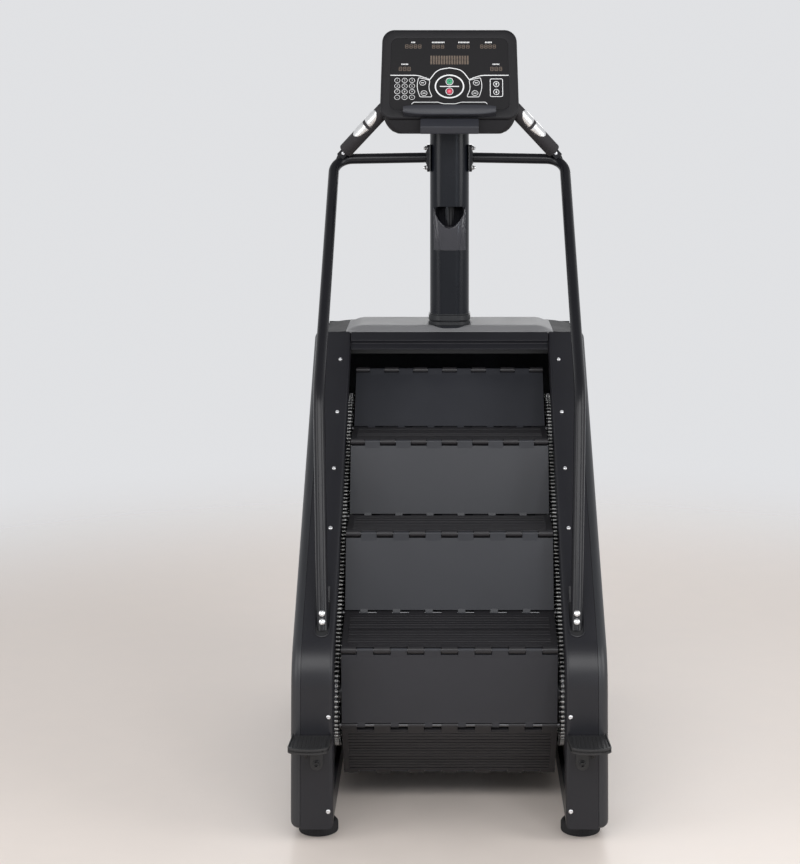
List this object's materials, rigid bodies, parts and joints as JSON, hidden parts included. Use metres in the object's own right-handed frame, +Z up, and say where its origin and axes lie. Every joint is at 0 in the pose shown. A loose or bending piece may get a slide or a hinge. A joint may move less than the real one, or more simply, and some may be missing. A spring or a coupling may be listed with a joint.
{
  "type": "stair climber",
  "caption": "Revolving-stair climbing machine: hinged steps on two endless chains in a covered frame, with column, console, handrails and levelling feet.",
  "frame": {"origin": "floor level, under the middle of the machine's overall length and width", "axes": "+X to the user's right, +Y the way the user faces, +Z up"},
  "size_m": [0.794, 1.414, 2.0515],
  "materials": {
    "frame_paint": "satin black",
    "zinc": "bright zinc",
    "rubber": "matte",
    "side_plastic": "satin charcoal",
    "trim_plastic": "satin charcoal",
    "top_plastic": "satin dark grey",
    "peg_paint": "satin black",
    "column_paint": "semi-gloss black",
    "column_collar": "semi-gloss",
    "cup_plastic": "gloss black",
    "smoked_window": "smoked clear",
    "rail_paint": "satin graphite",
    "grip_rubber": "soft matte",
    "pulse_steel": "satin stainless",
    "console_plastic": "fine satin black",
    "display_gloss": "gloss black",
    "console_grey": "satin dark grey",
    "key_green": "gloss",
    "key_red": "gloss",
    "key_white": "satin",
    "cast_housing": "painted casting",
    "chain_steel": "oiled",
    "motor_paint": "dark grey",
    "belt_rubber": "matte",
    "controller_case": "folded sheet",
    "shaft_steel": "ground",
    "sprocket_steel": "blackened",
    "pulley_alloy": "turned",
    "tread_alloy": "black, ribbed",
    "riser_alloy": "bluish charcoal satin",
    "wheel_plastic": "matte"
  },
  "bodies": {
    "frame": {"main_frame": "frame_paint", "foot_studs": "zinc", "foot_pads": "rubber", "side_cover_left": "side_plastic", "side_cover_right": "side_plastic", "face_trim_left": "trim_plastic", "face_trim_right": "trim_plastic", "top_cover": "top_plastic", "front_shroud": "side_plastic", "header_panel": "trim_plastic", "cover_screws": "zinc", "frame_bolts": "zinc", "foot_pegs": "peg_paint", "column": "column_paint", "column_collar": "column_collar", "bottle_cup": "cup_plastic", "pocket_window": "smoked_window", "handrail_left": "rail_paint", "handrail_right": "rail_paint", "grip_tubes": "rail_paint", "grip_sleeves": "grip_rubber", "pulse_plates": "pulse_steel", "console_housing": "console_plastic", "console_bezel": "console_plastic", "display_panel": "display_gloss", "book_rest": "console_grey", "console_tray": "console_plastic", "shaft_bearings": "cast_housing", "step_chains": "chain_steel", "drive_motor": "motor_paint", "drive_belt": "belt_rubber", "controller_box": "controller_case"},
    "front_steps": {"front_treads": "tread_alloy", "front_risers": "riser_alloy", "front_hinge_rods": "zinc"},
    "return_steps": {"return_treads": "tread_alloy", "return_risers": "riser_alloy", "return_hinge_rods": "zinc"},
    "drive_set": {"drive_shaft": "shaft_steel", "drive_sprockets": "sprocket_steel", "drive_pulley": "pulley_alloy", "top_hinge_rod": "zinc"},
    "idler_set": {"idler_shaft": "shaft_steel", "idler_sprockets": "sprocket_steel", "low_hinge_rod": "zinc"},
    "motor_rotor": {"motor_pulley": "pulley_alloy"},
    "bottom_tread": {"bottom_tread": "tread_alloy"},
    "bottom_riser": {"bottom_riser": "riser_alloy"},
    "under_tread": {"under_tread": "tread_alloy"},
    "under_riser": {"under_riser": "riser_alloy"},
    "top_riser": {"top_riser": "riser_alloy"},
    "top_tread": {"top_tread": "tread_alloy"},
    "back_tread": {"back_tread": "tread_alloy"},
    "back_riser": {"back_riser": "riser_alloy"},
    "wheel_left": {"transport_wheel_left": "wheel_plastic"},
    "wheel_right": {"transport_wheel_right": "wheel_plastic"},
    "start_key": {"start_button": "key_green"},
    "stop_key": {"stop_button": "key_red"},
    "level_up_key": {"level_up_button": "key_white"},
    "level_down_key": {"level_down_button": "key_white"}
  },
  "joints": [
    {"name": "stair_travel", "type": "slide", "parent": "frame", "child": "front_steps", "axis": [0, -0.7771, -0.6293], "range_m": [0, 0.0762]},
    {"name": "return_travel", "type": "slide", "parent": "frame", "child": "return_steps", "axis": [0, 0.7771, 0.6293], "range_m": [0, 0.0764]},
    {"name": "drive_turn", "type": "hinge", "parent": "frame", "child": "drive_set", "pos_m": [0, 0.34376, 0.83969], "axis": [1, 0, 0], "range_deg": [0, 33.94]},
    {"name": "idler_turn", "type": "hinge", "parent": "frame", "child": "idler_set", "pos_m": [0, -0.32726, 0.29631], "axis": [1, 0, 0], "range_deg": [0, 33.94]},
    {"name": "motor_turn", "type": "hinge", "parent": "frame", "child": "motor_rotor", "pos_m": [0, 0.4875, 0.23], "axis": [1, 0, 0], "range_deg": [0, 135.15]},
    {"name": "bottom_tread_hinge", "type": "hinge", "parent": "front_steps", "child": "bottom_tread", "pos_m": [0, -0.28925, 0.49361], "axis": [1, 0, 0], "range_deg": [0, 15.18]},
    {"name": "bottom_riser_hinge", "type": "hinge", "parent": "bottom_tread", "child": "bottom_riser", "pos_m": [0, -0.48038, 0.4502], "axis": [1, 0, 0], "range_deg": [0, 12.32]},
    {"name": "under_tread_hinge", "type": "hinge", "parent": "idler_set", "child": "under_tread", "pos_m": [0, -0.44765, 0.24884], "axis": [1, 0, 0], "range_deg": [-6.01, 0]},
    {"name": "under_riser_hinge", "type": "hinge", "parent": "under_tread", "child": "under_riser", "pos_m": [0, -0.32739, 0.09407], "axis": [1, 0, 0], "range_deg": [-12.28, 0]},
    {"name": "top_riser_hinge", "type": "hinge", "parent": "front_steps", "child": "top_riser", "pos_m": [0, 0.20423, 0.89323], "axis": [1, 0, 0], "range_deg": [0, 16.04]},
    {"name": "top_tread_hinge", "type": "hinge", "parent": "top_riser", "child": "top_tread", "pos_m": [0, 0.34389, 1.04193], "axis": [1, 0, 0], "range_deg": [0, 12.28]},
    {"name": "back_tread_hinge", "type": "hinge", "parent": "return_steps", "child": "back_tread", "pos_m": [0, 0.30575, 0.64239], "axis": [1, 0, 0], "range_deg": [0, 15.18]},
    {"name": "back_riser_hinge", "type": "hinge", "parent": "back_tread", "child": "back_riser", "pos_m": [0, 0.49688, 0.6858], "axis": [1, 0, 0], "range_deg": [0, 12.32]},
    {"name": "wheel_left_turn", "type": "hinge", "parent": "frame", "child": "wheel_left", "pos_m": [-0.25, 0.668, 0.031], "axis": [1, 0, 0], "continuous": true},
    {"name": "wheel_right_turn", "type": "hinge", "parent": "frame", "child": "wheel_right", "pos_m": [0.25, 0.668, 0.031], "axis": [1, 0, 0], "continuous": true},
    {"name": "start_press", "type": "slide", "parent": "frame", "child": "start_key", "axis": [0, 0.9511, -0.309], "range_m": [0, 0.0012]},
    {"name": "stop_press", "type": "slide", "parent": "frame", "child": "stop_key", "axis": [0, 0.9511, -0.309], "range_m": [0, 0.0012]},
    {"name": "level_up_press", "type": "slide", "parent": "frame", "child": "level_up_key", "axis": [0, 0.9511, -0.309], "range_m": [0, 0.0012]},
    {"name": "level_down_press", "type": "slide", "parent": "frame", "child": "level_down_key", "axis": [0, 0.9511, -0.309], "range_m": [0, 0.0012]}
  ],
  "couplings": [
    {"joint": "return_travel", "follows": "stair_travel", "ratio": 1},
    {"joint": "drive_turn", "follows": "stair_travel", "rad_per_m": 7.7272},
    {"joint": "idler_turn", "follows": "stair_travel", "rad_per_m": 7.7272},
    {"joint": "motor_turn", "follows": "stair_travel", "rad_per_m": 30.909},
    {"joint": "bottom_tread_hinge", "follows": "stair_travel", "rad_per_m": 3.4316},
    {"joint": "bottom_riser_hinge", "follows": "stair_travel", "rad_per_m": 2.7758},
    {"joint": "under_tread_hinge", "follows": "stair_travel", "rad_per_m": -1.3308},
    {"joint": "under_riser_hinge", "follows": "stair_travel", "rad_per_m": -2.7677},
    {"joint": "top_riser_hinge", "follows": "stair_travel", "rad_per_m": 3.6287},
    {"joint": "top_tread_hinge", "follows": "stair_travel", "rad_per_m": 2.7677},
    {"joint": "back_tread_hinge", "follows": "stair_travel", "rad_per_m": 3.4316},
    {"joint": "back_riser_hinge", "follows": "stair_travel", "rad_per_m": 2.7758}
  ]
}
